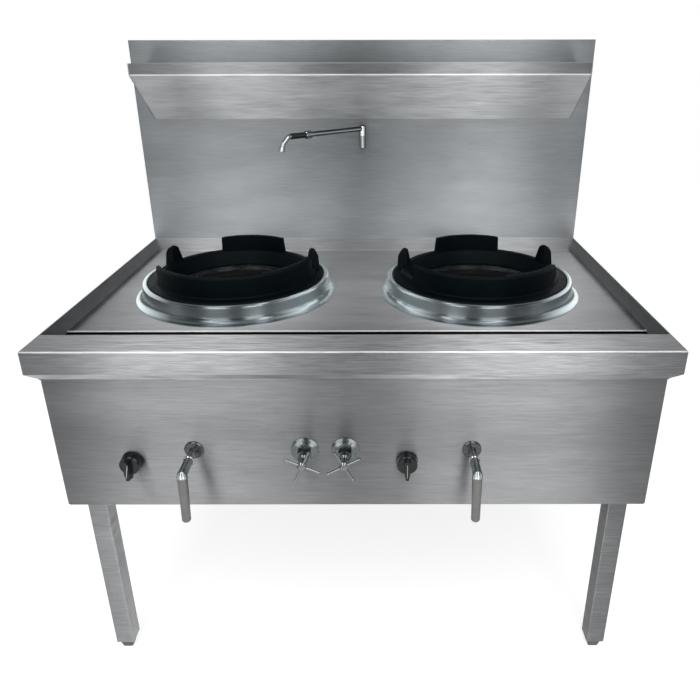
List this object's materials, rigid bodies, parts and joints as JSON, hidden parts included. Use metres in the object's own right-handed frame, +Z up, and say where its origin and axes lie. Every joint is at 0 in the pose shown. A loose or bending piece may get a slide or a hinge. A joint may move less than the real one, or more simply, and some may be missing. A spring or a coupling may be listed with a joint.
{
  "type": "wok range",
  "caption": "Stainless wok range with a splashback shelf, cast-iron wok rings over gas burners, hanging gas levers, pilot knobs, water taps, a swing faucet and a gutter.",
  "frame": {"origin": "on the floor, under the middle of the whole object", "axes": "+X to the right and +Y to the back as seen by the cook, +Z up"},
  "size_m": [1.2, 0.8812, 1.3],
  "materials": {
    "stainless": "brushed stainless sheet",
    "polished_stainless": "polished stainless sheet",
    "cast_iron": "black cast iron with a soft sheen",
    "refractory": "matt fired clay",
    "brass": "plain brass",
    "gas_pipe": "grey steel pipe",
    "copper_pipe": "plain copper",
    "chrome": "bright chrome plate",
    "lever_steel": "brushed steel",
    "black_plastic": "glossy black",
    "foot_plastic": "dark grey"
  },
  "bodies": {
    "range_body": {"top_frame": "stainless", "deck_pan": "stainless", "front_gutter": "stainless", "front_panel": "stainless", "side_panel_left": "stainless", "side_panel_right": "stainless", "rear_panel": "stainless", "splashback": "stainless", "rear_cover": "stainless", "splashback_bolts": "stainless", "shelf": "stainless", "shelf_end_caps": "stainless", "leg_front_left": "stainless", "leg_front_right": "stainless", "leg_rear_left": "stainless", "leg_rear_right": "stainless", "support_rails": "stainless", "burner_chamber_left": "stainless", "burner_chamber_right": "stainless", "chamber_lining_left": "refractory", "chamber_lining_right": "refractory", "collar_left": "polished_stainless", "collar_right": "polished_stainless", "burner_left": "cast_iron", "burner_right": "cast_iron", "burner_jets": "brass", "burner_brackets": "stainless", "gas_manifold": "gas_pipe", "gas_valves": "brass", "lever_flanges": "chrome", "supply_pipes": "gas_pipe", "injectors": "brass", "pilot_valves": "brass", "pilot_burners": "gas_pipe", "tap_bodies": "chrome", "tap_flanges": "chrome", "water_inlet_pipe": "copper_pipe", "faucet_riser": "copper_pipe", "gutter_flush_pipe": "copper_pipe", "drain_outlet": "chrome", "faucet_base": "chrome"},
    "ring_left": {"wok_ring_left": "cast_iron"},
    "ring_right": {"wok_ring_right": "cast_iron"},
    "lever_left": {"control_lever_left": "lever_steel"},
    "lever_right": {"control_lever_right": "lever_steel"},
    "stem_left": {"pilot_stem_left": "lever_steel"},
    "knob_left": {"pilot_knob_left": "black_plastic"},
    "stem_right": {"pilot_stem_right": "lever_steel"},
    "knob_right": {"pilot_knob_right": "black_plastic"},
    "tap_left": {"cross_handle_left": "chrome"},
    "tap_right": {"cross_handle_right": "chrome"},
    "faucet": {"faucet_arm": "chrome", "faucet_nut": "chrome", "faucet_grip": "black_plastic", "faucet_spout": "chrome"},
    "strainer": {"drain_strainer": "chrome"},
    "foot_front_left": {"foot_front_left": "foot_plastic"},
    "foot_front_right": {"foot_front_right": "foot_plastic"},
    "foot_rear_left": {"foot_rear_left": "foot_plastic"},
    "foot_rear_right": {"foot_rear_right": "foot_plastic"}
  },
  "joints": [
    {"name": "ring_lift_left", "type": "slide", "parent": "range_body", "child": "ring_left", "axis": [0, 0, 1], "range_m": [0, 0.12]},
    {"name": "ring_lift_right", "type": "slide", "parent": "range_body", "child": "ring_right", "axis": [0, 0, 1], "range_m": [0, 0.12]},
    {"name": "lever_turn_left", "type": "hinge", "parent": "range_body", "child": "lever_left", "pos_m": [-0.313, -0.33925, 0.563], "axis": [0, -1, 0], "range_deg": [0, 90]},
    {"name": "lever_turn_right", "type": "hinge", "parent": "range_body", "child": "lever_right", "pos_m": [0.2255, -0.33925, 0.563], "axis": [0, -1, 0], "range_deg": [0, 90]},
    {"name": "pilot_turn_left", "type": "hinge", "parent": "range_body", "child": "stem_left", "pos_m": [-0.434, -0.33925, 0.54], "axis": [0, -1, 0], "range_deg": [0, 90]},
    {"name": "pilot_push_left", "type": "slide", "parent": "stem_left", "child": "knob_left", "axis": [0, 1, 0], "range_m": [0, 0.003], "stiffness_N_per_m": 1500, "springref_m": -0.004},
    {"name": "pilot_turn_right", "type": "hinge", "parent": "range_body", "child": "stem_right", "pos_m": [0.1, -0.33925, 0.54], "axis": [0, -1, 0], "range_deg": [0, 90]},
    {"name": "pilot_push_right", "type": "slide", "parent": "stem_right", "child": "knob_right", "axis": [0, 1, 0], "range_m": [0, 0.003], "stiffness_N_per_m": 1500, "springref_m": -0.004},
    {"name": "tap_turn_left", "type": "hinge", "parent": "range_body", "child": "tap_left", "pos_m": [-0.098, -0.33925, 0.561], "axis": [0, -1, 0], "range_deg": [0, 720]},
    {"name": "tap_turn_right", "type": "hinge", "parent": "range_body", "child": "tap_right", "pos_m": [-0.0195, -0.33925, 0.561], "axis": [0, -1, 0], "range_deg": [0, 720]},
    {"name": "faucet_swing", "type": "hinge", "parent": "range_body", "child": "faucet", "pos_m": [0, 0.38475, 1.067], "axis": [0, 0, 1], "range_deg": [-38, 126]},
    {"name": "strainer_lift", "type": "slide", "parent": "range_body", "child": "strainer", "axis": [0, 0, 1], "range_m": [0, 0.06]},
    {"name": "foot_screw_front_left", "type": "slide", "parent": "range_body", "child": "foot_front_left", "axis": [0, 0, -1], "range_m": [0, 0.025]},
    {"name": "foot_screw_front_right", "type": "slide", "parent": "range_body", "child": "foot_front_right", "axis": [0, 0, -1], "range_m": [0, 0.025]},
    {"name": "foot_screw_rear_left", "type": "slide", "parent": "range_body", "child": "foot_rear_left", "axis": [0, 0, -1], "range_m": [0, 0.025]},
    {"name": "foot_screw_rear_right", "type": "slide", "parent": "range_body", "child": "foot_rear_right", "axis": [0, 0, -1], "range_m": [0, 0.025]}
  ]
}
